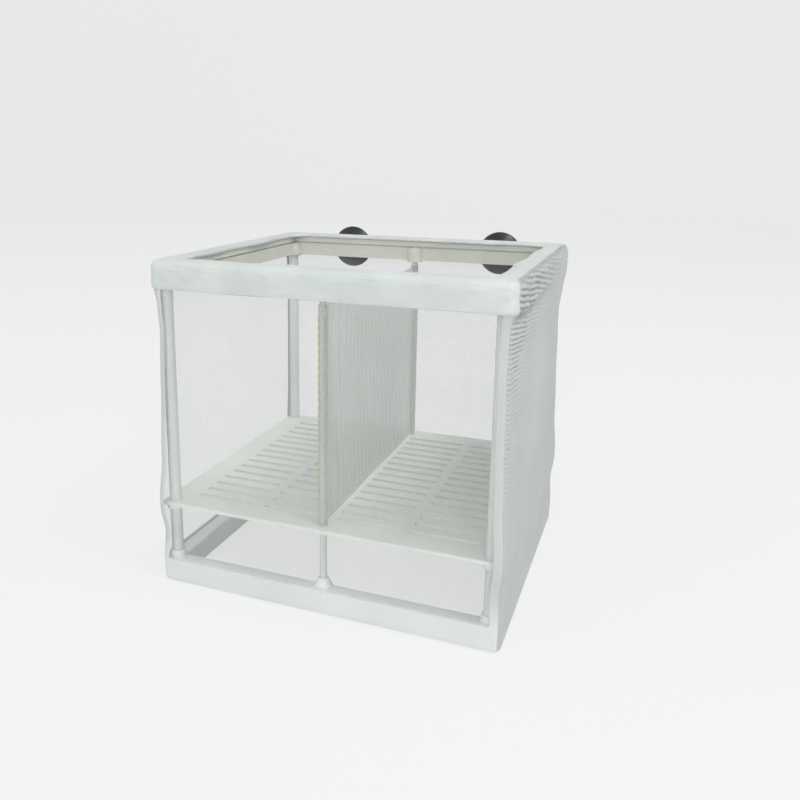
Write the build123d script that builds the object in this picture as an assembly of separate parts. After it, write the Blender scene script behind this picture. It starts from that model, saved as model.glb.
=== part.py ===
from build123d import *
import os

# Fish breeding net: two moulded rings joined by push-fit posts, a slotted tray clamped between
# the lower and upper posts, a net cover drawn over the frame, a divider net and two suction cups.
# Sizes are in millimetres. X runs left to right, Y runs back towards the glass, Z runs up.

# Outside of the net cover
WIDTH = 160.0
DEPTH = 142.0
HEIGHT = 152.0

# Cloth: the mesh, the doubled hem and the floor panel that the frame stands on
NET = 0.6
HEM = 1.2
HEM_TOP = 1.0
HEM_EDGE = 0.6
SEAM_GAP = 0.1

# Rings: a channel section, open downwards, with a rim bead on the top ring
WALL = 1.6
RAIL_WIDTH = 7.0
TOP_RAIL_HEIGHT = 11.4
BOTTOM_RAIL_HEIGHT = 10.4
RING_CORNER = 3.0
LEAST_CORNER = 0.4
BEAD_REACH = 0.6
BEAD_HEIGHT = 3.8
GROOVE_DEPTH = 0.6
GROOVE_HEIGHT = 0.8
EDGE_BREAK = 0.5

# Posts and their sockets
POST_INSET = 5.7
POST_RADIUS = 2.7
ROD_INSET = 7.0
ROD_RADIUS = 1.5
PUSH_FIT = 0.05
SOCKET_RADIUS = 4.2
SOCKET_DROP = 0.8
SOCKET_FLOOR = 2.4
SOCKET_ROOF = 1.6
CORNER_BOSS = 3.9
MIDDLE_BOSS = 4.4
BOSS_WALL = 0.8
CONE_RISE = 3.5
SPIGOT_LENGTH = 9.0
SPIGOT_SHARE = 0.6
END_GAP = 0.2

# Tray
TRAY_MIDDLE_Z = 38.5
TRAY_THICK = 1.6
TRAY_GAP = 0.2
TRAY_CORNER = 2.0
SLOT_COLUMNS = 4
SLOT_ROWS = 15
SLOT_LENGTH = 30.0
SLOT_WIDTH = 2.6
SLOT_PITCH_X = 34.5
SLOT_PITCH_Y = 8.0
COLLAR_WALL = 1.1
COLLAR_HEIGHT = 2.0

# Mesh gaps: square, narrower than the real knit is fine, so that few stand for many
GAP = 3.6
GAP_PITCH = 17.0

# Side nets: how far they are drawn in under the tray and above it, and the flat on its edge
DRAWN_LOW = 0.9
DRAWN_HIGH = 1.6
EDGE_BAND = 0.5

# Divider net
SLEEVE_GAP = 0.12
SLEEVE_WALL = 0.5
DIVIDER_TOP_GAP = 1.4
DIVIDER_FOOT_GAP = 0.3

# Hem fold and the elastic in it
FOLD_REACH = 1.4
FOLD_WALL = 0.5
FOLD_FOOT = 0.4
FOLD_DROP = 1.7
ELASTIC_THICK = 0.7
ELASTIC_GAP = 0.1

# Suction cups
CUP_X = 43.0
CUP_Z = 143.5
CUP_RADIUS = 10.0
CUP_RIM = 0.7
CUP_DEPTH = 9.7
CUP_HOLLOW = 3.4
FLARE_REACH = 2.0
FLARE_DEPTH = 2.6
HUB_RADIUS = 4.2
HUB_LENGTH = 3.6
HUB_TAPER = 1.0
HUB_GAP = 0.3
NECK_RADIUS = 2.5
NECK_FIT = 0.06
HEAD_RADIUS = 3.3
HEAD_LENGTH = 1.8
HEAD_TAPER = 1.2
EYELET_RADIUS = 3.0
LUG_WIDTH = 13.0
LUG_THICK = 2.2
LUG_INSET = 0.2
LUG_DROP = 0.4

# Places worked out from the sizes above
HALF_X = WIDTH / 2
HALF_Y = DEPTH / 2
RING_X = HALF_X - HEM
RING_Y = HALF_Y - HEM
RING_TOP = HEIGHT - HEM_TOP
RING_FOOT = RING_TOP - TOP_RAIL_HEIGHT
BASE_TOP = NET + BOTTOM_RAIL_HEIGHT
POST_X = HALF_X - POST_INSET
POST_Y = HALF_Y - POST_INSET
ROD_Y = HALF_Y - ROD_INSET
TRAY_TOP = TRAY_MIDDLE_Z + TRAY_THICK / 2
TRAY_FOOT = TRAY_MIDDLE_Z - TRAY_THICK / 2
COLLAR_FOOT = TRAY_FOOT - COLLAR_HEIGHT
NET_OUT_X = RING_X + TRAY_GAP + NET
NET_OUT_Y = RING_Y + NET
RIM_Y = HALF_Y + HUB_GAP + CUP_DEPTH
CENTRE_Y = (RIM_Y - HALF_Y) / 2

CORNERS = {
    "front_left": (-POST_X, -POST_Y),
    "front_right": (POST_X, -POST_Y),
    "rear_left": (-POST_X, POST_Y),
    "rear_right": (POST_X, POST_Y),
}
MIDDLES = {"front": (0, -ROD_Y), "rear": (0, ROD_Y)}
CUPS = {"left": -CUP_X, "right": CUP_X}


def plate(half_x, half_y, corner, low, high):
    """A slab with round corners, centred on the net."""
    outline = RectangleRounded(2 * half_x, 2 * half_y, corner)
    return Pos(0, 0, low) * extrude(outline, high - low)


def hoop(half_x, half_y, corner, width, low, high):
    """A rectangular hoop of that outside size, that wide all round."""
    hole_corner = max(corner - width, LEAST_CORNER)
    hole = plate(half_x - width, half_y - width, hole_corner, low - 1, high + 1)
    return plate(half_x, half_y, corner, low, high) - hole


def rod(x, y, radius, low, high):
    """A round bar standing at x, y."""
    centre = Pos(x, y, (low + high) / 2)
    return centre * Cylinder(radius, high - low)


def cone(x, y, base, tip, low, high):
    """A tapered boss standing at x, y."""
    centre = Pos(x, y, (low + high) / 2)
    return centre * Cone(base, tip, high - low)


def bar_across(x, z, radius, front, back):
    """A round bar along Y."""
    centre = Pos(x, (front + back) / 2, z) * Rot(90, 0, 0)
    return centre * Cylinder(radius, back - front)


def mesh_sheet(width, height, columns, rows):
    """A flat net: one face with a grid of square gaps, given the cloth's thickness."""
    spots = GridLocations(GAP_PITCH, GAP_PITCH, columns, rows)
    gaps = [spot * Rectangle(GAP, GAP) for spot in spots]
    return extrude(Rectangle(width, height) - gaps, NET)


def channel(low, high):
    """The rings' moulded section: a web on top and a wall down each side."""
    hollow_top = high - WALL
    body = hoop(RING_X, RING_Y, RING_CORNER, RAIL_WIDTH, low, high)
    body = chamfer(body.edges().group_by(Axis.Z)[-1], EDGE_BREAK)
    hollow = hoop(RING_X - WALL, RING_Y - WALL, WALL, RAIL_WIDTH - 2 * WALL, low - 1, hollow_top)
    return body - hollow


def top_ring():
    """The upper ring, with a bead and groove inside, six sockets and two cup lugs."""
    bead_foot = RING_TOP - BEAD_HEIGHT
    groove_foot = bead_foot - GROOVE_HEIGHT
    inner_x = RING_X - RAIL_WIDTH
    inner_y = RING_Y - RAIL_WIDTH
    ring = channel(RING_FOOT, RING_TOP)
    lug_foot = RING_FOOT - LUG_DROP
    lug_head = RING_TOP - WALL / 2
    lug = Box(LUG_WIDTH, LUG_THICK, lug_head - lug_foot)
    lug_y = RING_Y - LUG_INSET - LUG_THICK / 2
    ring += [Pos(x, lug_y, (lug_foot + lug_head) / 2) * lug for x in CUPS.values()]
    bead = hoop(inner_x + WALL, inner_y + WALL, WALL, WALL + BEAD_REACH, bead_foot, RING_TOP)
    ring += chamfer(bead.edges().group_by(Axis.Z)[-1], EDGE_BREAK)
    ring -= hoop(inner_x + GROOVE_DEPTH, inner_y + GROOVE_DEPTH, 1, 1, groove_foot, bead_foot)
    socket_foot = RING_FOOT - SOCKET_DROP
    for x, y in [*CORNERS.values(), *MIDDLES.values()]:
        ring += rod(x, y, SOCKET_RADIUS, socket_foot, groove_foot)
    bore_top = RING_TOP - SOCKET_ROOF - GROOVE_HEIGHT
    for x, y in CORNERS.values():
        ring -= rod(x, y, POST_RADIUS + PUSH_FIT, socket_foot - 1, bore_top)
    for x, y in MIDDLES.values():
        ring -= rod(x, y, ROD_RADIUS + PUSH_FIT, socket_foot - 1, bore_top)
    for x in CUPS.values():
        ring -= bar_across(x, CUP_Z, NECK_RADIUS + NECK_FIT, RING_Y - LUG_THICK - 1, RING_Y + 1)
    return ring


def bottom_ring():
    """The lower ring, with a tapered socket under each post."""
    ring = channel(NET, BASE_TOP)
    cone_top = BASE_TOP + CONE_RISE
    floor = NET + SOCKET_FLOOR
    sockets = (
        (CORNERS, CORNER_BOSS, POST_RADIUS),
        (MIDDLES, MIDDLE_BOSS, ROD_RADIUS),
    )
    for places, boss, post in sockets:
        for x, y in places.values():
            ring += rod(x, y, boss, NET, BASE_TOP - WALL / 2)
            ring += cone(x, y, boss, post + BOSS_WALL, BASE_TOP - WALL / 2, cone_top)
            ring -= rod(x, y, post + PUSH_FIT, floor, cone_top + 1)
    return ring


def lower_post(x, y, radius):
    """A short tube from the bottom ring up to the tray."""
    foot = NET + SOCKET_FLOOR + END_GAP
    bore = radius * SPIGOT_SHARE + PUSH_FIT
    return rod(x, y, radius, foot, COLLAR_FOOT) - rod(x, y, bore, foot - 1, COLLAR_FOOT + 1)


def upper_post(x, y, radius):
    """A long rod from the tray up into the top ring, with a spigot through the tray."""
    top = RING_TOP - SOCKET_ROOF - GROOVE_HEIGHT - END_GAP
    shaft = rod(x, y, radius, TRAY_TOP, top)
    return shaft + rod(x, y, radius * SPIGOT_SHARE, TRAY_TOP - SPIGOT_LENGTH, TRAY_TOP)


def tray():
    """The slotted tray, with a collar under it at each post."""
    half_x = RING_X + TRAY_GAP
    half_y = RING_Y - TRAY_GAP
    body = plate(half_x, half_y, TRAY_CORNER, TRAY_FOOT, TRAY_TOP)
    spots = GridLocations(SLOT_PITCH_X, SLOT_PITCH_Y, SLOT_COLUMNS, SLOT_ROWS)
    slots = [spot * Rectangle(SLOT_LENGTH, SLOT_WIDTH) for spot in spots]
    body -= Pos(0, 0, TRAY_FOOT - 1) * extrude(Sketch() + slots, TRAY_THICK + 2)
    for radius, places in ((POST_RADIUS, CORNERS), (ROD_RADIUS, MIDDLES)):
        for x, y in places.values():
            body += rod(x, y, radius + COLLAR_WALL, COLLAR_FOOT, TRAY_MIDDLE_Z)
            body -= rod(x, y, radius * SPIGOT_SHARE + PUSH_FIT, COLLAR_FOOT - 1, TRAY_TOP + 1)
    return body


def side_net():
    """The right side: drawn in between the rings and pushed out by the tray's edge."""
    drawn_low = NET_OUT_X - DRAWN_LOW
    drawn_high = NET_OUT_X - DRAWN_HIGH
    pushed = NET_OUT_X + TRAY_GAP
    band_low = TRAY_FOOT - EDGE_BAND
    band_high = TRAY_TOP + EDGE_BAND

    def face_line(x_shift):
        return [
            Line((NET_OUT_X + x_shift, NET), (NET_OUT_X + x_shift, BASE_TOP)),
            ThreePointArc(
                (NET_OUT_X + x_shift, BASE_TOP),
                (drawn_low + x_shift, (BASE_TOP + band_low) / 2),
                (pushed + x_shift, band_low),
            ),
            Line((pushed + x_shift, band_low), (pushed + x_shift, band_high)),
            ThreePointArc(
                (pushed + x_shift, band_high),
                (drawn_high + x_shift, (band_high + RING_FOOT) / 2),
                (NET_OUT_X + x_shift, RING_FOOT),
            ),
        ]

    outside = face_line(0)
    inside = face_line(-NET)
    ends = [
        Line(outside[0] @ 0, inside[0] @ 0),
        Line(outside[-1] @ 1, inside[-1] @ 1),
    ]
    profile = make_face(Curve() + outside + inside + ends)
    upright = Plane.XZ.offset(NET_OUT_Y) * profile
    return extrude(upright, -2 * NET_OUT_Y)


def net_cover():
    """The five mesh panels, each its own cut of cloth."""
    panel_x = NET_OUT_X - DRAWN_HIGH - NET - SEAM_GAP
    panel_height = RING_FOOT - NET
    columns = int(2 * panel_x / GAP_PITCH)
    rows = int(panel_height / GAP_PITCH)
    wall = mesh_sheet(2 * panel_x, panel_height, columns, rows)
    front = Pos(0, -RING_Y, NET + panel_height / 2) * Rot(90, 0, 0) * wall
    rear = mirror(front, Plane.XZ)
    floor_rows = int(2 * NET_OUT_Y / GAP_PITCH)
    floor = mesh_sheet(2 * NET_OUT_X, 2 * NET_OUT_Y, columns, floor_rows)
    right = side_net()
    return {
        "net_front": front,
        "net_rear": rear,
        "net_left": mirror(right, Plane.YZ),
        "net_right": right,
        "net_floor": floor,
    }


def hem():
    """The doubled band over the top ring, folded in over the elastic."""
    top_width = HEM + RAIL_WIDTH + BEAD_REACH + FOLD_REACH
    fold_x = HALF_X - top_width + FOLD_WALL
    fold_y = HALF_Y - top_width + FOLD_WALL
    fold_foot = RING_TOP - FOLD_DROP
    corner = RING_CORNER + HEM
    band = hoop(HALF_X, HALF_Y, corner, HEM, RING_FOOT, HEIGHT)
    band += hoop(HALF_X, HALF_Y, corner, top_width, RING_TOP, HEIGHT)
    band += hoop(fold_x, fold_y, FOLD_WALL, FOLD_WALL, fold_foot, HEIGHT)
    foot_width = FOLD_REACH
    foot_x = HALF_X - top_width + foot_width
    foot_y = HALF_Y - top_width + foot_width
    band += hoop(foot_x, foot_y, FOLD_WALL, foot_width, fold_foot, fold_foot + FOLD_FOOT)
    top_edges = band.edges().group_by(Axis.Z)[-1]
    outside = [e for e in top_edges if abs((e @ 0.5).X) > POST_X or abs((e @ 0.5).Y) > POST_Y]
    band = chamfer(outside, HEM_EDGE)
    for x in CUPS.values():
        band -= bar_across(x, CUP_Z, EYELET_RADIUS, RING_Y - 1, HALF_Y + 1)
    return band


def elastic():
    """The flat elastic lying in the fold of the hem."""
    outer = HEM + RAIL_WIDTH + BEAD_REACH + ELASTIC_GAP
    low = RING_TOP - FOLD_DROP + FOLD_FOOT + ELASTIC_GAP
    high = RING_TOP - ELASTIC_GAP
    return hoop(HALF_X - outer, HALF_Y - outer, 1, ELASTIC_THICK, low, high)


def divider_net():
    """The partition: a flat net between two sleeves that thread over the rods."""
    foot = TRAY_TOP + DIVIDER_FOOT_GAP
    top = RING_FOOT - SOCKET_DROP - DIVIDER_TOP_GAP
    height = top - foot
    inner = ROD_RADIUS + SLEEVE_GAP
    outer = inner + SLEEVE_WALL
    width = 2 * (ROD_Y - inner)
    columns = int((width - 2 * outer) / GAP_PITCH)
    rows = int(height / GAP_PITCH)
    flat = mesh_sheet(width, height, columns, rows)
    sheet = Plane.YZ.offset(-NET / 2) * Pos(0, foot + height / 2) * flat
    for x, y in MIDDLES.values():
        sheet += rod(x, y, outer, foot, top)
        sheet -= rod(x, y, inner, foot - 1, top + 1)
    return sheet


def suction_cup(x):
    """A rubber cup: bell, hub and neck, with a mushroom head that snaps behind the rail."""
    hub_y = HALF_Y + HUB_GAP
    head_back = RING_Y - LUG_INSET - LUG_THICK - HUB_GAP
    head_front = head_back - HEAD_LENGTH
    hub_back = hub_y + HUB_LENGTH
    outline = Polyline(
        (0, head_front),
        (HEAD_RADIUS - HEAD_TAPER, head_front),
        (HEAD_RADIUS, head_back),
        (NECK_RADIUS, head_back),
        (NECK_RADIUS, hub_y),
        (HUB_RADIUS, hub_y),
        (HUB_RADIUS + HUB_TAPER, hub_back),
        (CUP_RADIUS - FLARE_REACH, RIM_Y - CUP_RIM - FLARE_DEPTH),
        (CUP_RADIUS, RIM_Y - CUP_RIM),
        (CUP_RADIUS, RIM_Y),
        (CUP_RADIUS - CUP_RIM, RIM_Y),
        (0, RIM_Y - CUP_HOLLOW),
        close=True,
    )
    turned = revolve(make_face(outline), Axis.Y)
    return Pos(x, 0, CUP_Z) * turned


def pieces():
    """Every node by name, centred on the net."""
    made = {"top_ring": top_ring(), "bottom_ring": bottom_ring(), "tray": tray()}
    for name, (x, y) in CORNERS.items():
        made["lower_post_" + name] = lower_post(x, y, POST_RADIUS)
        made["upper_post_" + name] = upper_post(x, y, POST_RADIUS)
    for name, (x, y) in MIDDLES.items():
        made["lower_rod_" + name] = lower_post(x, y, ROD_RADIUS)
        made["upper_rod_" + name] = upper_post(x, y, ROD_RADIUS)
    made.update(net_cover())
    made["top_hem"] = hem()
    made["hem_elastic"] = elastic()
    made["divider_net"] = divider_net()
    for name, x in CUPS.items():
        made["suction_cup_" + name] = suction_cup(x)
    return made


os.makedirs("parts", exist_ok=True)
for node, shape in pieces().items():
    # The origin is under the middle of the whole object, cups included
    export_step(Pos(0, -CENTRE_Y, 0) * shape, f"parts/{node}.step")
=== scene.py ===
import bpy, bmesh
from math import pi, sin, cos, exp, radians
from mathutils import Vector, Matrix, noise


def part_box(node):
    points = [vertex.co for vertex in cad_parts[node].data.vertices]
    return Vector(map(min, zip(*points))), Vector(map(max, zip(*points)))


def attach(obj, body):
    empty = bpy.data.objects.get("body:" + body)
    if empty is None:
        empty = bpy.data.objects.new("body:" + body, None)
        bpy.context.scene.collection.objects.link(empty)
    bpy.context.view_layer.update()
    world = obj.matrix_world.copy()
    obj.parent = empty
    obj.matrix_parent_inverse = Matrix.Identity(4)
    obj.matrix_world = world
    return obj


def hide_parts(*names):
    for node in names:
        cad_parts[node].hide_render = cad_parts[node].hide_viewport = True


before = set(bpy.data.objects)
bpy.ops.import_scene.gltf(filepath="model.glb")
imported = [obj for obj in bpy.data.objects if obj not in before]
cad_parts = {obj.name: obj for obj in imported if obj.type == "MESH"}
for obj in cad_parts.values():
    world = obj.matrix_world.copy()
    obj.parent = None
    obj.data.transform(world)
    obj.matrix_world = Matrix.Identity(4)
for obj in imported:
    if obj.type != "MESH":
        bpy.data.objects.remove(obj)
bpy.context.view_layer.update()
mainBody = "net_and_frame"
mm = 0.001

# Sizes of the net that all cloth pieces share, in millimetres
netSize = {
    "halfX": 79.7,      # outside of the mesh at the rings
    "halfY": 70.7,
    "corner": 3.6,      # radius where the mesh goes round a post
    "foot": 0.3,        # height of the mesh's lower edge
    "wallTop": 142,     # height of the walls that end in the hem
    "depth": 142,       # stated depth of the net
}
ringLow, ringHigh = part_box("top_ring")
middleY = (ringLow.y + ringHigh.y) / 2 / mm


def deselectAll():
    if bpy.context.mode != "OBJECT":
        bpy.ops.object.mode_set(mode="OBJECT")
    bpy.ops.object.select_all(action="DESELECT")


def dress(piece, material, nodes=(), body=mainBody):
    # material, finish slot, the body it moves with and the solids it stands for
    piece.data.materials.clear()
    piece.data.materials.append(material)
    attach(piece, body)
    if nodes:
        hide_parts(*nodes)
    return piece


def loopPoint(u, halfX, halfY, radius):
    # a point on a rounded rectangle; u runs 0 to 1 from the front left corner round by the right
    side = int(u * 4 // 1)
    along = u * 4 - side
    straight = (halfX if side % 2 == 0 else halfY) - radius
    arcShare = (pi / 2 * radius) / (2 * straight + pi / 2 * radius)
    reach = (halfY if side % 2 == 0 else halfX) - radius
    if along <= 1 - arcShare:
        x = -straight + 2 * straight * along / (1 - arcShare)
        y = -(reach + radius)
    else:
        turn = (along - 1 + arcShare) / arcShare * pi / 2
        x = straight + radius * sin(turn)
        y = -reach - radius * cos(turn)
    for _ in range(side % 4):
        x, y = -y, x
    return x, y


def clothGrid(name, across, up, size, place, closed=False, cover=None, depth=None):
    # a grid laid flat at its cut size, then every point moved to where the cloth hangs
    deselectAll()
    bpy.ops.mesh.primitive_grid_add(x_subdivisions=across, y_subdivisions=up, size=1, calc_uvs=True)
    piece = bpy.context.object
    piece.name = name
    piece.data.name = name
    places = [(point.co.x + 0.5, point.co.y + 0.5) for point in piece.data.vertices]
    uvs = piece.data.uv_layers.active.data
    for loop in piece.data.loops:
        u, v = places[loop.vertex_index]
        uvs[loop.index].uv = (u * size[0] * mm, v * size[1] * mm)
    for point, (u, v) in zip(piece.data.vertices, places):
        x, y, z = place(u, v)
        point.co = Vector((x, y + middleY, z)) * mm
    if cover:
        # where the cloth is doubled and its gaps close
        doubled = piece.data.attributes.new("doubled", "FLOAT", "POINT")
        for point, (u, v) in zip(doubled.data, places):
            point.value = cover(u * size[0], v * size[1])
    if depth:
        # painted light and shade from the given depth: the cloth is painted darker where folds dip,
        # and lighter on folds and over the lower ring
        paintedShade = piece.data.attributes.new("paintedShade", "FLOAT", "POINT")
        for point, (u, v) in zip(paintedShade.data, places):
            point.value = depth(u, v)
    if closed:
        bpy.ops.object.mode_set(mode="EDIT")
        bpy.ops.mesh.select_all(action="SELECT")
        bpy.ops.mesh.remove_doubles(threshold=1e-6)
        bpy.ops.object.mode_set(mode="OBJECT")
    bpy.ops.object.shade_smooth()
    return piece


def rising(at, start, end):
    # 0 up to start and 1 from end on, straight between them
    return min(max((at - start) / (end - start), 0), 1)


def eased(share):
    return share * share * (3 - 2 * share)


def smoothPath(knots, at):
    # a value read off a short list of (place, value), eased between them
    for (a, low), (b, high) in zip(knots, knots[1:]):
        if at <= b:
            return low + (high - low) * eased(rising(at, a, b))
    return knots[-1][1]


def ripple(x, y, z, size):
    # a smooth random value, about -0.5 to 0.5, that changes over the given size
    return noise.noise(Vector((x, y, z)) / size)


# Materials

def newMaterial(name):
    material = bpy.data.materials.new(name)
    material.use_nodes = True
    nodes = material.node_tree.nodes
    links = material.node_tree.links
    return material, nodes, links, nodes["Principled BSDF"]


def speckle(nodes, links, coords, scale, light, dark, detail=3):
    # a soft change between two near colours
    cloud = nodes.new("ShaderNodeTexNoise")
    cloud.inputs["Scale"].default_value = scale
    cloud.inputs["Detail"].default_value = detail
    links.new(coords, cloud.inputs["Vector"])
    ramp = nodes.new("ShaderNodeValToRGB")
    ramp.color_ramp.elements[0].position = 0.3
    ramp.color_ramp.elements[0].color = (*dark, 1)
    ramp.color_ramp.elements[1].position = 0.7
    ramp.color_ramp.elements[1].color = (*light, 1)
    links.new(cloud.outputs["Fac"], ramp.inputs["Fac"])
    return ramp.outputs["Color"]


def mouldedPlastic(name, light, dark, roughness, through):
    # moulded plastic: a little cloudiness and a fine satin grain
    material, nodes, links, shader = newMaterial(name)
    coords = nodes.new("ShaderNodeTexCoord").outputs["Object"]
    links.new(speckle(nodes, links, coords, 42, light, dark), shader.inputs["Base Color"])
    shader.inputs["Roughness"].default_value = roughness
    shader.inputs["Specular IOR Level"].default_value = 0.45
    shader.inputs["Subsurface Weight"].default_value = through
    shader.inputs["Subsurface Radius"].default_value = (0.004, 0.004, 0.0035)
    shader.inputs["Subsurface Scale"].default_value = 0.5
    grain = nodes.new("ShaderNodeTexNoise")
    grain.inputs["Scale"].default_value = 900
    grain.inputs["Detail"].default_value = 2
    links.new(coords, grain.inputs["Vector"])
    bump = nodes.new("ShaderNodeBump")
    bump.inputs["Strength"].default_value = 0.08
    bump.inputs["Distance"].default_value = 0.0002
    links.new(grain.outputs["Fac"], bump.inputs["Height"])
    links.new(bump.outputs["Normal"], shader.inputs["Normal"])
    return material


def knitHeight(nodes, links, pitch):
    # 0 on the threads, 1 in the middle of a gap; the gaps are a little wider than high
    uv = nodes.new("ShaderNodeUVMap")
    split = nodes.new("ShaderNodeSeparateXYZ")
    links.new(uv.outputs["UV"], split.inputs["Vector"])
    waves = []
    for axis, stretch in (("X", 1.0), ("Y", 0.86)):
        turn = nodes.new("ShaderNodeMath")
        turn.operation = "MULTIPLY"
        turn.inputs[1].default_value = pi / (pitch * stretch)
        links.new(split.outputs[axis], turn.inputs[0])
        wave = nodes.new("ShaderNodeMath")
        wave.operation = "SINE"
        links.new(turn.outputs[0], wave.inputs[0])
        size = nodes.new("ShaderNodeMath")
        size.operation = "ABSOLUTE"
        links.new(wave.outputs[0], size.inputs[0])
        waves.append(size)
    both = nodes.new("ShaderNodeMath")
    both.operation = "MULTIPLY"
    links.new(waves[0].outputs[0], both.inputs[0])
    links.new(waves[1].outputs[0], both.inputs[1])
    return both.outputs[0]


# Painted shade: how much darker a dip between folds is painted, and how much lighter the fold
foldShade = {"dip": 0.80, "fold": 1.16}


def knitMesh(name, light, dark, pitch, gap, gapAlpha, gapShade=0.9):
    # fine knit: threads are solid, gaps are clear down to gapAlpha, and the gaps' colour is painted
    # darker as painted shade seen through them
    material, nodes, links, shader = newMaterial(name)
    coords = nodes.new("ShaderNodeTexCoord").outputs["Object"]
    shader.inputs["Roughness"].default_value = 0.72
    shader.inputs["Specular IOR Level"].default_value = 0.3
    shader.inputs["Sheen Weight"].default_value = 0.15
    height = knitHeight(nodes, links, pitch)
    threads = nodes.new("ShaderNodeMix")
    threads.data_type = "RGBA"
    links.new(height, threads.inputs["Factor"])
    links.new(speckle(nodes, links, coords, 26, light, dark), threads.inputs["A"])
    # painted shade in the gaps: the dark colour scaled down by the gap factor
    threads.inputs["B"].default_value = (*[tone * gapShade for tone in dark], 1)
    # painted light and shade: a per-point value scales the colour, darker in fold dips, lighter on
    # folds and over the lower ring
    paintedShade = nodes.new("ShaderNodeAttribute")
    paintedShade.attribute_name = "paintedShade"
    dip = nodes.new("ShaderNodeMapRange")
    dip.inputs["From Min"].default_value = -0.5
    dip.inputs["From Max"].default_value = 0.5
    dip.inputs["To Min"].default_value = foldShade["dip"]
    dip.inputs["To Max"].default_value = foldShade["fold"]
    dip.clamp = False
    links.new(paintedShade.outputs["Fac"], dip.inputs["Value"])
    shade = nodes.new("ShaderNodeVectorMath")
    shade.operation = "SCALE"
    links.new(threads.outputs["Result"], shade.inputs[0])
    links.new(dip.outputs["Result"], shade.inputs["Scale"])
    links.new(shade.outputs["Vector"], shader.inputs["Base Color"])
    opening = nodes.new("ShaderNodeMapRange")
    opening.inputs["From Min"].default_value = gap[0]
    opening.inputs["From Max"].default_value = gap[1]
    opening.inputs["To Min"].default_value = 1
    opening.inputs["To Max"].default_value = gapAlpha
    links.new(height, opening.inputs["Value"])
    doubled = nodes.new("ShaderNodeAttribute")
    doubled.attribute_name = "doubled"
    closing = nodes.new("ShaderNodeMath")
    closing.operation = "MAXIMUM"
    links.new(opening.outputs["Result"], closing.inputs[0])
    links.new(doubled.outputs["Fac"], closing.inputs[1])
    links.new(closing.outputs[0], shader.inputs["Alpha"])
    bump = nodes.new("ShaderNodeBump")
    bump.invert = True
    bump.inputs["Strength"].default_value = 0.22
    bump.inputs["Distance"].default_value = 0.0002
    links.new(height, bump.inputs["Height"])
    links.new(bump.outputs["Normal"], shader.inputs["Normal"])
    return material


def hemCloth(name, light, dark, pitch):
    # doubled cloth: closed, with the knit and the drawn creases only as relief
    material, nodes, links, shader = newMaterial(name)
    coords = nodes.new("ShaderNodeTexCoord").outputs["Object"]
    links.new(speckle(nodes, links, coords, 60, light, dark, 5), shader.inputs["Base Color"])
    shader.inputs["Roughness"].default_value = 0.6
    shader.inputs["Sheen Weight"].default_value = 0.25
    shader.inputs["Specular IOR Level"].default_value = 0.35
    bump = nodes.new("ShaderNodeBump")
    bump.invert = True
    bump.inputs["Strength"].default_value = 0.25
    bump.inputs["Distance"].default_value = 0.00015
    links.new(knitHeight(nodes, links, pitch), bump.inputs["Height"])
    fine = nodes.new("ShaderNodeBump")
    fine.inputs["Strength"].default_value = 0.6
    fine.inputs["Distance"].default_value = 0.0005
    drawn = nodes.new("ShaderNodeMapping")
    drawn.inputs["Scale"].default_value = (150, 760, 1)
    drawn.inputs["Rotation"].default_value = (0, 0, 0.05)
    uv = nodes.new("ShaderNodeUVMap")
    links.new(uv.outputs["UV"], drawn.inputs["Vector"])
    streaks = nodes.new("ShaderNodeTexNoise")
    streaks.inputs["Scale"].default_value = 1
    streaks.inputs["Detail"].default_value = 5
    streaks.inputs["Distortion"].default_value = 0.6
    links.new(drawn.outputs["Vector"], streaks.inputs["Vector"])
    links.new(streaks.outputs["Fac"], fine.inputs["Height"])
    links.new(bump.outputs["Normal"], fine.inputs["Normal"])
    links.new(fine.outputs["Normal"], shader.inputs["Normal"])
    return material


def plainMaterial(name, light, dark, scale, roughness):
    # rubber and thread: only two near colours and their roughness
    material, nodes, links, shader = newMaterial(name)
    coords = nodes.new("ShaderNodeTexCoord").outputs["Object"]
    links.new(speckle(nodes, links, coords, scale, light, dark), shader.inputs["Base Color"])
    shader.inputs["Roughness"].default_value = roughness
    return material


# Each material: light and dark colour, then its own values
framePlastic = mouldedPlastic(
    "ivory plastic", (0.63, 0.635, 0.575), (0.57, 0.575, 0.515), roughness=0.42, through=0.1)
postPlastic = mouldedPlastic(
    "white post plastic", (0.68, 0.71, 0.685), (0.62, 0.65, 0.625), roughness=0.40, through=0.1)
# painted light: the lower ring's white plastic is painted lighter than the posts' white plastic,
# making up for the mesh's shade over it
basePlasticPaintedLight = mouldedPlastic(
    "white base plastic painted light", (0.84, 0.87, 0.855), (0.78, 0.81, 0.795), roughness=0.42, through=0.1)
trayPlastic = mouldedPlastic(
    "grey green tray plastic", (0.77, 0.82, 0.755), (0.71, 0.76, 0.70),
    roughness=0.36, through=0.05)
clearKnit = knitMesh(
    "clear side knit", (0.60, 0.63, 0.61), (0.53, 0.56, 0.54),
    pitch=0.0006, gap=(0.06, 0.14), gapAlpha=0.03)
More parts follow.
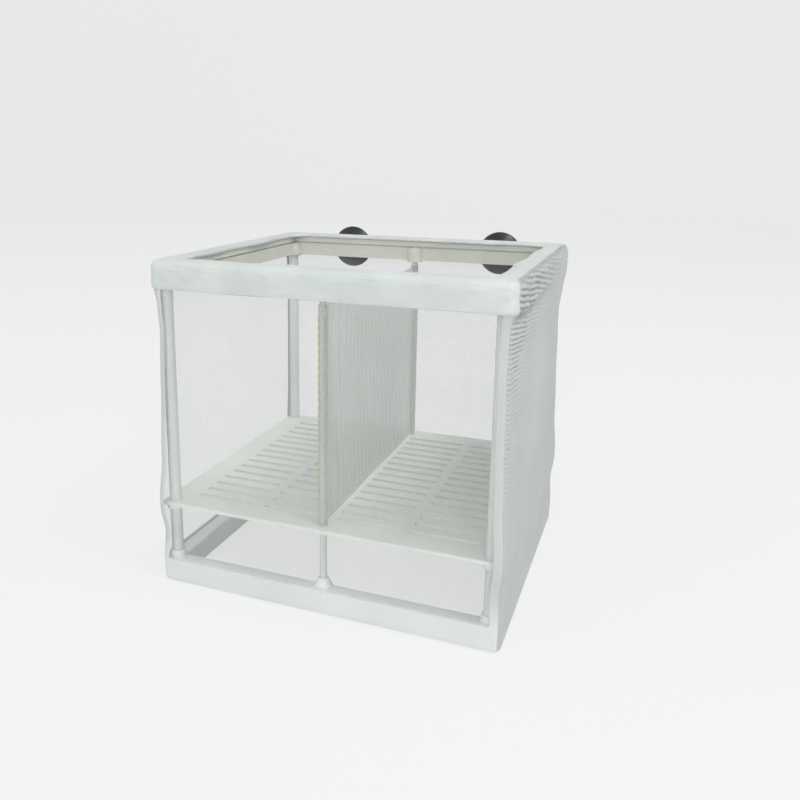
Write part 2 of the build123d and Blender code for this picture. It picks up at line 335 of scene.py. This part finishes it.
# painted light: the floor knit is painted lighter than the wall knit, making up for the object's
# shadow on the floor under it
floorKnitPaintedLight = knitMesh(
    "floor knit painted light", (0.80, 0.82, 0.80), (0.74, 0.77, 0.74),
    pitch=0.0008, gap=(0.03, 0.08), gapAlpha=0.02)
closeKnit = knitMesh(
    "close side knit", (0.51, 0.55, 0.515), (0.45, 0.49, 0.455),
    pitch=0.0010, gap=(0.50, 0.85), gapAlpha=0.80, gapShade=0.86)
dividerKnit = knitMesh(
    "divider knit", (0.68, 0.72, 0.68), (0.60, 0.64, 0.60),
    pitch=0.0013, gap=(0.45, 0.70), gapAlpha=0.55, gapShade=0.72)
sleeveKnit = knitMesh(
    "divider sleeve knit", (0.55, 0.585, 0.55), (0.49, 0.525, 0.49),
    pitch=0.0013, gap=(0.70, 0.95), gapAlpha=0.9, gapShade=0.80)
hemFabric = hemCloth("hem cloth", (0.575, 0.615, 0.585), (0.51, 0.55, 0.52), pitch=0.0008)
elasticCover = plainMaterial(
    "elastic cover", (0.72, 0.72, 0.68), (0.6, 0.6, 0.56), scale=500, roughness=0.7)
seamThread = plainMaterial(
    "seam thread", (0.60, 0.585, 0.30), (0.50, 0.49, 0.23), scale=500, roughness=0.7)
# painted shade: the right edge's stitches are painted grey, darker than the cloth, as the shade
# between the pleats along the seam as well as the thread
edgeThreadPaintedShade = plainMaterial(
    "edge thread painted shade", (0.50, 0.53, 0.50), (0.42, 0.45, 0.42), scale=500, roughness=0.7)
cupRubber = plainMaterial(
    "black cup rubber", (0.022, 0.022, 0.023), (0.012, 0.012, 0.013), scale=120, roughness=0.38)
print("materials made")


# Moulded pieces keep their solids and get their plastics

plastics = {"top_ring": framePlastic, "bottom_ring": basePlasticPaintedLight, "tray": trayPlastic}
for name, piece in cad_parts.items():
    finish = cupRubber if name.startswith("suction_cup") else plastics.get(name, postPlastic)
    piece.data.materials.clear()
    piece.data.materials.append(finish)
print("plastics on the frame")


# Mesh walls

wallShape = {
    # height and how far the mesh stands out from the rings, in millimetres
    "profile": [(0, -0.6), (1.2, 0), (11, 0.1), (24, -0.5), (36.5, 0.8), (40.5, 0.8), (60, -0.4),
                (95, -1.2), (120, -1.7), (131, -1.3), (139, -0.55), (143, -0.6)],
    "slack": 0.35,
    # doubled cloth down each corner and round the lower ring
    "seam": {"net_front": 3.4, "net_right": 6.5, "net_rear": 3.0, "net_left": 3.0},
    "band": 11.3,
    "doubled": 0.94,    # how far its gaps close
    "start": -0.02,     # of a wall's edge from the corner's start, in shares of a side
    "across": 150,
    "up": 120,
}


def wallPlace(side, top, crease):
    def place(u, v):
        z = netSize["foot"] + v * (top - netSize["foot"])
        out = smoothPath(wallShape["profile"], z)
        slack = ripple(u * 90 + side * 300, z, 7, 30)
        out += wallShape["slack"] * slack * sin(pi * v) * sin(pi * u)
        out += crease(u, z)
        halfX = netSize["halfX"] + out
        halfY = netSize["halfY"] + out
        share = (side + wallShape["start"] + u) / 4
        x, y = loopPoint(share % 1, halfX, halfY, netSize["corner"])
        return x, y, z
    return place


def seamCover(width, seam):
    # doubled down both corners, and drawn close round the lower ring
    def cover(across, height):
        side = min(across, width - across)
        return wallShape["doubled"] if side < seam or height < wallShape["band"] else 0.0
    return cover


def basePaintedLight(u, v):
    # painted light: over the lower ring the cloth is painted lighter, where the white plastic is
    # behind it
    return 0.75 * rising(netSize["wallTop"] * v, 22, 10)


def noCrease(u, z):
    return 0


# Gathers of the right wall, which is drawn up and sewn over the hem

gatherShape = {
    "top": 151.2,
    "width": 141,
    "rows": 520,
    "pitch": 1.95,      # of the folds
    "depth": 0.8,
    "overPitch": 0.35,  # more where they stand over the hem
    "overDepth": 0.45,
    "over": (136, 140), # heights between which that begins
    "low": (46, 136),   # heights between which the folds grow
    "drop": 0.15,       # of the folds towards the rear
    "length": 44,       # of the folds from the front corner
    "knots": 0.55,      # lumps just under the hem
    "knotsAt": 133,
    "outside": 1.7,     # how far the wall stands out over the hem
    "outsideAt": (112, 142),
    "rollAt": 147.3,    # where it rolls in to the seam
    "roll": 1.5,
}


def gatherFold(u, z):
    # -0.5 in a dip and 0.5 on a fold; the folds start at the front corner
    along = u * gatherShape["width"]
    high = rising(z, *gatherShape["low"])
    over = rising(z, *gatherShape["over"])
    drop = gatherShape["drop"] * (0.35 + 0.65 * high) * along
    bow = 0.9 * exp(-(along / 8) ** 2)
    swing = 0.55 * ripple(along * 0.45, z * 0.3, 3, 11) + 0.22 * ripple(along, z, 5, 6)
    pitch = gatherShape["pitch"] + gatherShape["overPitch"] * over
    phase = (z + drop + bow) / pitch + swing
    fold = sin(2 * pi * phase) * 0.42 + 0.10 * sin(4 * pi * phase + 1)
    broken = 0.78 + 0.7 * ripple(along, z * 2.0, 12, 9)
    near = exp(-(along / (gatherShape["length"] + 40 * over)) ** 2) + 0.12
    strength = min(max(broken, 0), 1.2) * near * (0.2 + 0.8 * high)
    return fold * strength * rising(along, -1, 3) * rising(z, 42, 62)


def gatherCrease(u, z):
    # the folds as a depth, broken into knots just under the hem and flat at the seam
    along = u * gatherShape["width"]
    over = rising(z, *gatherShape["over"])
    depth = gatherShape["depth"] + gatherShape["overDepth"] * over
    knots = gatherShape["knots"] * exp(-((z - gatherShape["knotsAt"]) / 5) ** 2)
    knots *= ripple(along, z, 30, 5) * exp(-(along / 40) ** 2) * min(1, along / 6)
    return (depth * gatherFold(u, z) + knots) * rising(z, 151.4, 150.2)


# painted shade of the gathers: the fold value, painted darker in the dips and lighter on the folds
def gatherPaintedShade(u, v):
    return gatherFold(u, netSize["foot"] + v * (gatherShape["top"] - netSize["foot"]))


def overHem(inner):
    # high up the wall stands outside the folded cloth, and less so round the front corner
    def place(u, v):
        x, y, z = inner(u, v)
        outside = eased(rising(z, *gatherShape["outsideAt"]))
        roll = max(0, (z - gatherShape["rollAt"]) / 3.9)
        turn = rising(u * gatherShape["width"] + 2 - 6 * (z < 138.5), 0, 9)
        x += gatherShape["outside"] * outside * turn - gatherShape["roll"] * roll * roll
        return x, y, z
    return place


# side of the net, top, creases, material
walls = {
    "net_front": (0, netSize["wallTop"], noCrease, clearKnit),
    "net_right": (1, gatherShape["top"], gatherCrease, closeKnit),
    "net_rear": (2, netSize["wallTop"], noCrease, clearKnit),
    "net_left": (3, netSize["wallTop"], noCrease, clearKnit),
}
for name, (side, top, crease, knit) in walls.items():
    width = 2 * (netSize["halfX"] if side % 2 == 0 else netSize["halfY"])
    place, up, depth = wallPlace(side, top, crease), wallShape["up"], basePaintedLight
    if name == "net_right":
        place, up, depth = overHem(place), gatherShape["rows"], gatherPaintedShade
    piece = clothGrid(name + "_knit", wallShape["across"], up, (width, top), place,
                      cover=seamCover(width, wallShape["seam"][name]), depth=depth)
    dress(piece, knit, [name])
print("mesh walls hung")


# Floor panel

floorShape = {"inset": 0.6, "across": 80, "up": 72, "size": (159, 140)}


def floorPlace(u, v):
    halfX = netSize["halfX"] - floorShape["inset"]
    halfY = netSize["halfY"] - floorShape["inset"]
    return (u * 2 - 1) * halfX, (v * 2 - 1) * halfY, netSize["foot"]


floorPanel = clothGrid("net_floor_knit", floorShape["across"], floorShape["up"],
                       floorShape["size"], floorPlace)
dress(floorPanel, floorKnitPaintedLight, ["net_floor"])
print("floor panel laid")


# Hem over the top ring, folded in round the elastic

hemShape = {
    "halfX": 80,        # outside of the hem
    "halfY": 71,
    "corner": 4,
    "around": 720,
    "steps": 52,
    "size": (604, 26),
    # distance in from the outside and height, in millimetres
    "fold": [(0.5, 139.0), (0.06, 139.15), (0.0, 140.5), (0.0, 145.0), (0.05, 148.0),
             (0.45, 149.7), (1.15, 150.95), (2.4, 151.6), (4.4, 151.85), (7.0, 151.8),
             (8.6, 151.6), (9.4, 151.25), (9.75, 150.7), (9.65, 150.15), (9.2, 149.9)],
    "rail": (1.4, 8.9, 151.25),   # between these distances it lies on the ring, at this height
    "highest": 152.4,
    "wave": 2.5,        # of the inner edge
    "web": 8,           # how round the cloth crosses the inner corners
    "streak": 0.17,     # fine creases along the rail
    "tuck": 0.45,       # creases that run out of the corners
    "droop": 0.35,      # of the lower edge
    "rightIn": 1.2,     # room on the right for the gathered wall
}


def foldAt(v):
    knots = hemShape["fold"]
    at = v * (len(knots) - 1)
    step = min(int(at), len(knots) - 2)
    share = at - step
    (a, low), (b, high) = knots[step], knots[step + 1]
    return a + (b - a) * share, low + (high - low) * share


def hemWave(sideX, sideY):
    # the inner edge only ever stands in from the elastic, most of all at the front
    loose = 0.35 + 0.65 * (0.5 - sideY / netSize["depth"])
    swell = 0.42 + 1.2 * ripple(sideX, sideY, 0, 30) + 0.35 * ripple(sideX, sideY, 9, 10)
    return loose * hemShape["wave"] * max(swell, 0)


def hemStreak(sideX, sideY, across):
    # creases lie along the rail, drawn out long and narrow
    streak = ripple(sideX / 5, sideY / 5, across, 1.3)
    streak += 0.8 * ripple(sideX / 2.5, sideY / 2.5, across * 1.4, 2.2)
    streak += 0.7 * ripple(sideX, sideY, across * 1.5, 6)
    return hemShape["streak"] * streak


def hemPlace(u, v):
    halfX, halfY, radius = hemShape["halfX"], hemShape["halfY"], hemShape["corner"]
    inward, z = foldAt(v)
    sideX, sideY = loopPoint(u % 1, halfX, halfY, radius)
    lip = rising(v, 0.55, 0.80)
    skirt = rising(v, 0.4, 0.2)
    inward += lip * hemWave(sideX, sideY)
    z += skirt * hemShape["droop"] * ripple(sideX, sideY, 4, 30)
    streak = hemStreak(sideX, sideY, v * 26)
    inward += streak * (1 - 0.6 * lip)
    z += streak * (1 - skirt) * (1 - lip)
    # near a corner they slant down and out
    corner = min(abs(abs(sideX) - halfX) + abs(abs(sideY) - halfY), 30)
    slant = sin((corner * 0.9 + z * 1.1) / 1.5) * exp(-corner / 9)
    inward += hemShape["tuck"] * slant * skirt * 0.5
    outer, inner, height = hemShape["rail"]
    if outer < inward < inner and z > 149:
        z = max(z, height)
    web = hemShape["web"] * rising(v, 0.45, 0.85) ** 2
    x, y = loopPoint(u % 1, halfX - inward, halfY - inward, max(radius - inward, 0.6) + web)
    if 0.25 < u < 0.5:
        x -= hemShape["rightIn"] * min(1, min(u - 0.25, 0.5 - u) / 0.01) * skirt
    return x, y, min(z, hemShape["highest"])


hem = clothGrid("top_hem_cloth", hemShape["around"], hemShape["steps"], hemShape["size"],
                hemPlace, closed=True)
dress(hem, hemFabric, ["top_hem"])


# Elastic in the fold

elasticShape = {
    "inward": 9.15,
    "height": 150.65,
    "halfWide": 0.28,
    "halfHigh": 0.35,
    "around": 240,
    "steps": 10,
    "size": (580, 3),
}


def elasticPlace(u, v):
    inward = elasticShape["inward"] + elasticShape["halfWide"] * cos(2 * pi * v)
    halfX, halfY = hemShape["halfX"] - inward, hemShape["halfY"] - inward
    x, y = loopPoint(u % 1, halfX, halfY, 0.8 + 0.5 * hemShape["web"])
    return x, y, elasticShape["height"] + elasticShape["halfHigh"] * sin(2 * pi * v)


elastic = clothGrid("hem_elastic_band", elasticShape["around"], elasticShape["steps"],
                    elasticShape["size"], elasticPlace, closed=True)
dress(elastic, elasticCover, ["hem_elastic"])
print("hem folded")


# Divider net with a sleeve on each rod

dividerShape = {
    "foot": 39.7,
    "top": 136.4,
    "rodY": 64,
    "sleeve": 2.15,     # radius at the stitches
    "overlap": 0.4,     # of the net and the sleeve
    "sag": 1.3,         # of the top edge
    "slack": 0.8,
    "height": 97,       # of the cloth as cut
    "across": 110,
    "up": 90,
    "round": 28,
    "girth": 13,
}
dividerReach = dividerShape["rodY"] - dividerShape["sleeve"] + dividerShape["overlap"]
dividerLength = 2 * dividerReach


def dividerHeight(v):
    return dividerShape["foot"] + v * (dividerShape["top"] - dividerShape["foot"])


def dividerPlace(u, v):
    # from the stitches of one sleeve to the other, a little slack between
    y = (u * 2 - 1) * dividerReach
    z = dividerHeight(v) - dividerShape["sag"] * sin(pi * u) ** 2 * (v ** 3)
    hang = dividerShape["slack"] * ripple(y, z, 40, 34) + 0.05 * ripple(y, z, 11, 9)
    return hang * sin(pi * u), y, z


divider = clothGrid("divider_knit", dividerShape["across"], dividerShape["up"],
                    (dividerLength, dividerShape["height"]), dividerPlace)
dress(divider, dividerKnit, ["divider_net"])


def sleevePlace(end):
    def place(u, v):
        turn = 2 * pi * u
        z = dividerHeight(v)
        pucker = 0.16 * ripple(cos(turn) * 4, sin(turn) * 4, z, 5)
        radius = dividerShape["sleeve"] - 0.25 + pucker
        return radius * sin(turn), end * dividerShape["rodY"] + radius * cos(turn), z
    return place


for end, word in ((-1, "front"), (1, "rear")):
    sleeve = clothGrid("divider_sleeve_" + word, dividerShape["round"], dividerShape["up"],
                       (dividerShape["girth"], dividerShape["height"]), sleevePlace(end),
                       closed=True)
    dress(sleeve, sleeveKnit)
print("divider hung")


# Rows of stitches

def stitchRow(name, places, stitching, material):
    # one short stitch modelled once and copied along the row
    length, thick = stitching["length"], stitching["thick"]
    deselectAll()
    bpy.ops.mesh.primitive_cylinder_add(vertices=8, radius=thick * mm / 2, depth=length * mm)
    stitch = bpy.context.object
    bpy.ops.object.mode_set(mode="EDIT")
    bpy.ops.mesh.select_all(action="SELECT")
    bpy.ops.mesh.bevel(offset=thick * mm * 0.3, segments=2)
    bpy.ops.object.mode_set(mode="OBJECT")
    whole = bmesh.new()
    for spot, way in places:
        copy = stitch.data.copy()
        turn = Vector(way).to_track_quat("Z", "Y").to_matrix().to_4x4()
        centre = Vector((spot[0], spot[1] + middleY, spot[2])) * mm
        copy.transform(Matrix.Translation(centre) @ turn)
        whole.from_mesh(copy)
        bpy.data.meshes.remove(copy)
    mesh = bpy.data.meshes.new(name)
    whole.to_mesh(mesh)
    whole.free()
    row = bpy.data.objects.new(name, mesh)
    bpy.context.scene.collection.objects.link(row)
    bpy.data.objects.remove(stitch)
    deselectAll()
    row.select_set(True)
    bpy.context.view_layer.objects.active = row
    bpy.ops.object.shade_smooth()
    return dress(row, material)


dividerSeam = {
    "step": 3.4,
    "length": 2.6,
    "thick": 0.75,
    "face": 1.4,        # from the net's middle to each row
    "outward": 1.35,    # from the rod's middle
    "inset": 2,         # of the first stitch from the net's foot
}
seamLength = dividerShape["top"] - dividerShape["foot"] - dividerSeam["inset"]
count = int(seamLength / dividerSeam["step"])
for end, word in ((-1, "front"), (1, "rear")):
    seamY = end * (dividerShape["rodY"] + dividerSeam["outward"])
    spots = []
    for face in (-1, 1):
        for step in range(count):
            z = dividerShape["foot"] + dividerSeam["inset"] + step * dividerSeam["step"]
            spots.append(((face * dividerSeam["face"], seamY, z), (0, 0.12 * end, 1)))
    stitchRow("divider_seam_" + word, spots, dividerSeam, seamThread)

edgeSeam = {
    "step": 5.0,
    "length": 2.2,
    "thick": 0.4,
    "halfLength": 64,
    "x": 79.15,
    "height": 151.2,
    "way": (0.8, 0.25, -0.55),
}
spots = []
for step in range(int(2 * edgeSeam["halfLength"] / edgeSeam["step"])):
    y = -edgeSeam["halfLength"] + edgeSeam["step"] * (step + 0.5)
    spots.append(((edgeSeam["x"], y, edgeSeam["height"]), edgeSeam["way"]))
stitchRow("right_edge_seam", spots, edgeSeam, edgeThreadPaintedShade)
print("seams sewn")


# Turned pieces: an outline drawn point by point, then spun

def turned(name, outline, centre, axis):
    # outline holds (distance from the axis, place along it) in millimetres
    deselectAll()
    spot = Vector(centre) * mm
    out = Vector((1, 0, 0))
    bpy.ops.mesh.primitive_plane_add(size=0.001, location=(0, 0, 0))
    piece = bpy.context.object
    piece.name = name
    piece.data.name = name
    bpy.ops.object.mode_set(mode="EDIT")
    edit = bmesh.from_edit_mesh(piece.data)
    bmesh.ops.delete(edit, geom=list(edit.verts)[1:], context="VERTS")
    edit.verts.ensure_lookup_table()
    edit.verts[0].co = spot + (out * outline[0][0] + axis * outline[0][1]) * mm
    edit.verts[0].select = True
    bmesh.update_edit_mesh(piece.data)
    for (r0, h0), (r1, h1) in zip(outline, outline[1:]):
        step = (out * (r1 - r0) + axis * (h1 - h0)) * mm
        bpy.ops.mesh.extrude_vertices_move(TRANSFORM_OT_translate={"value": step})
    bpy.ops.mesh.select_all(action="SELECT")
    bpy.ops.mesh.spin(steps=64, angle=2 * pi, center=spot, axis=axis)
    bpy.ops.mesh.select_all(action="SELECT")
    bpy.ops.mesh.remove_doubles(threshold=1e-6)
    bpy.ops.mesh.normals_make_consistent(inside=False)
    bpy.ops.object.mode_set(mode="OBJECT")
    bpy.ops.object.shade_smooth_by_angle(angle=radians(50))
    return piece


# Suction cups: mushroom head, neck, hub with a finger groove, bell and rim

cupShape = {
    "outline": [(0, 65.3), (1.6, 65.35), (2.4, 65.8), (3.2, 66.85), (3.1, 67.1), (2.5, 67.2),
                (2.5, 71.2), (3.9, 71.35), (4.2, 71.6), (4.3, 72.4), (4.05, 73.0), (4.2, 73.7),
                (4.8, 74.8), (6.0, 76.1), (7.6, 77.4), (9.5, 78.8), (10.8, 79.8), (11.4, 80.4),
                (11.55, 80.75), (11.4, 81.0), (11.0, 80.95), (9.8, 80.2), (8.0, 79.2),
                (5.6, 78.25), (3.0, 77.75), (0, 77.6)],
    "fromMiddle": 43,
    "height": 143.5,
}
for side, word in ((-1, "left"), (1, "right")):
    centre = (side * cupShape["fromMiddle"], middleY, cupShape["height"])
    cup = turned("suction_cup_" + word + "_rubber", cupShape["outline"], centre,
                 Vector((0, 1, 0)))
    dress(cup, cupRubber, ["suction_cup_" + word], word + "_cup")
print("cups turned")


# Round bosses in the top ring's inner corners, where the posts go in

bossShape = {
    "outline": [(0, 138.55), (3.3, 138.55), (4.1, 138.9), (4.6, 139.7), (4.7, 141.0),
                (4.7, 145.9), (4.45, 146.3), (0, 146.35)],
    "inset": 0.9,       # further in than the post
}
corners = (
    (-1, -1, "front_left"), (1, -1, "front_right"),
    (-1, 1, "rear_left"), (1, 1, "rear_right"),
)
for sideX, sideY, word in corners:
    low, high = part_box("upper_post_" + word)
    centre = (low + high) / 2 / mm
    inset = bossShape["inset"]
    boss = turned("top_boss_" + word, bossShape["outline"],
                  (centre.x - sideX * inset, centre.y - sideY * inset, 0), Vector((0, 0, 1)))
    dress(boss, framePlastic)
print("bosses turned")


# Stage: pale floor and backdrop, soft light, camera

groundLook = {
    "size": 6,
    "rise": 3,          # height of the backdrop
    "bend": 1.1,        # radius between floor and backdrop
    "below": 0.0004,    # the object's underside
    "tone": 0.75,       # as it lights the object
    "seenTone": 0.16,   # as the camera sees it, with the glow
    "glow": 0.71,
}


def paleGround(name, seenTone, tone, glow):
    # the camera sees part of its tone as a plain glow, and the object's shadow on the rest
    material, nodes, links, shader = newMaterial(name)
    coords = nodes.new("ShaderNodeTexCoord").outputs["Object"]
    path = nodes.new("ShaderNodeLightPath")
    tones = nodes.new("ShaderNodeMix")
    tones.data_type = "RGBA"
    links.new(path.outputs["Is Camera Ray"], tones.inputs["Factor"])
    tones.inputs["A"].default_value = (tone, tone, tone, 1)
    light = (seenTone,) * 3
    dark = (seenTone * 0.98,) * 3
    links.new(speckle(nodes, links, coords, 2, light, dark), tones.inputs["B"])
    links.new(tones.outputs["Result"], shader.inputs["Base Color"])
    shader.inputs["Roughness"].default_value = 0.9
    shader.inputs["Specular IOR Level"].default_value = 0.1
    shader.inputs["Emission Color"].default_value = (1, 1, 1, 1)
    seen = nodes.new("ShaderNodeMath")
    seen.operation = "MULTIPLY"
    seen.inputs[1].default_value = glow
    links.new(path.outputs["Is Camera Ray"], seen.inputs[0])
    links.new(seen.outputs[0], shader.inputs["Emission Strength"])
    return material


deselectAll()
bpy.ops.mesh.primitive_plane_add(size=groundLook["size"],
                                 location=(0, -1.2, -groundLook["below"]))
ground = bpy.context.object
ground.name = "ground"
bpy.ops.object.transform_apply(location=True, rotation=True, scale=True)
bpy.ops.object.mode_set(mode="EDIT")
edit = bmesh.from_edit_mesh(ground.data)
for edge in edit.edges:
    edge.select = all(corner.co.y > 1 for corner in edge.verts)
edit.select_flush(False)
bpy.ops.mesh.extrude_region_move(TRANSFORM_OT_translate={"value": (0, 0, groundLook["rise"])})
edit = bmesh.from_edit_mesh(ground.data)
for edge in edit.edges:
    edge.select = all(corner.co.y > 1 and corner.co.z < 0.1 for corner in edge.verts)
edit.select_flush(False)
bpy.ops.mesh.bevel(offset=groundLook["bend"], segments=24)
bpy.ops.object.mode_set(mode="OBJECT")
bpy.ops.object.shade_smooth()
ground.data.materials.append(
    paleGround("pale ground", groundLook["seenTone"], groundLook["tone"], groundLook["glow"]))

skyLook = {"colour": (0.97, 0.98, 1.0, 1), "onObject": 0.70, "seen": 0.84}
world = bpy.data.worlds.new("soft daylight")
bpy.context.scene.world = world
world.use_nodes = True
sky = world.node_tree.nodes["Background"]
sky.inputs["Color"].default_value = skyLook["colour"]
seen = world.node_tree.nodes.new("ShaderNodeLightPath")
skyLevel = world.node_tree.nodes.new("ShaderNodeMapRange")
skyLevel.inputs["To Min"].default_value = skyLook["onObject"]
skyLevel.inputs["To Max"].default_value = skyLook["seen"]
world.node_tree.links.new(seen.outputs["Is Camera Ray"], skyLevel.inputs["Value"])
world.node_tree.links.new(skyLevel.outputs["Result"], sky.inputs["Strength"])

# The lamps all point at one spot on the net's axis
lampTarget = Vector((0, 0, 0.07))
lamps = {
    "window": {"place": (0.40, -1.0, 0.38), "size": 0.7, "power": 4.3},
    "high side": {"place": (0.40, -0.12, 0.88), "size": 0.3, "power": 3.2},
    "left fill": {"place": (-0.9, -0.5, 0.5), "size": 0.8, "power": 1.5},
}
for name, lamp in lamps.items():
    deselectAll()
    bpy.ops.object.light_add(type="AREA", location=lamp["place"])
    light = bpy.context.object
    light.name = name
    light.data.energy = lamp["power"]
    light.data.size = lamp["size"]
    aim = lampTarget - Vector(lamp["place"])
    light.rotation_euler = aim.to_track_quat("-Z", "Y").to_euler()

view = {
    "place": (0.12964, -0.36536 + middleY * mm, 0.19735),
    "turn": (77.022, -0.161, 22.096),
    "lens": 36.745,
    "shift": (0.075, -0.075),
}
deselectAll()
turn = [radians(angle) for angle in view["turn"]]
bpy.ops.object.camera_add(location=view["place"], rotation=turn)
camera = bpy.context.object
camera.data.lens = view["lens"]
camera.data.sensor_width = 36
camera.data.shift_x, camera.data.shift_y = view["shift"]
camera.data.clip_start = 0.01
bpy.context.scene.camera = camera
bpy.context.scene.view_settings.view_transform = "Standard"
print("stage set")
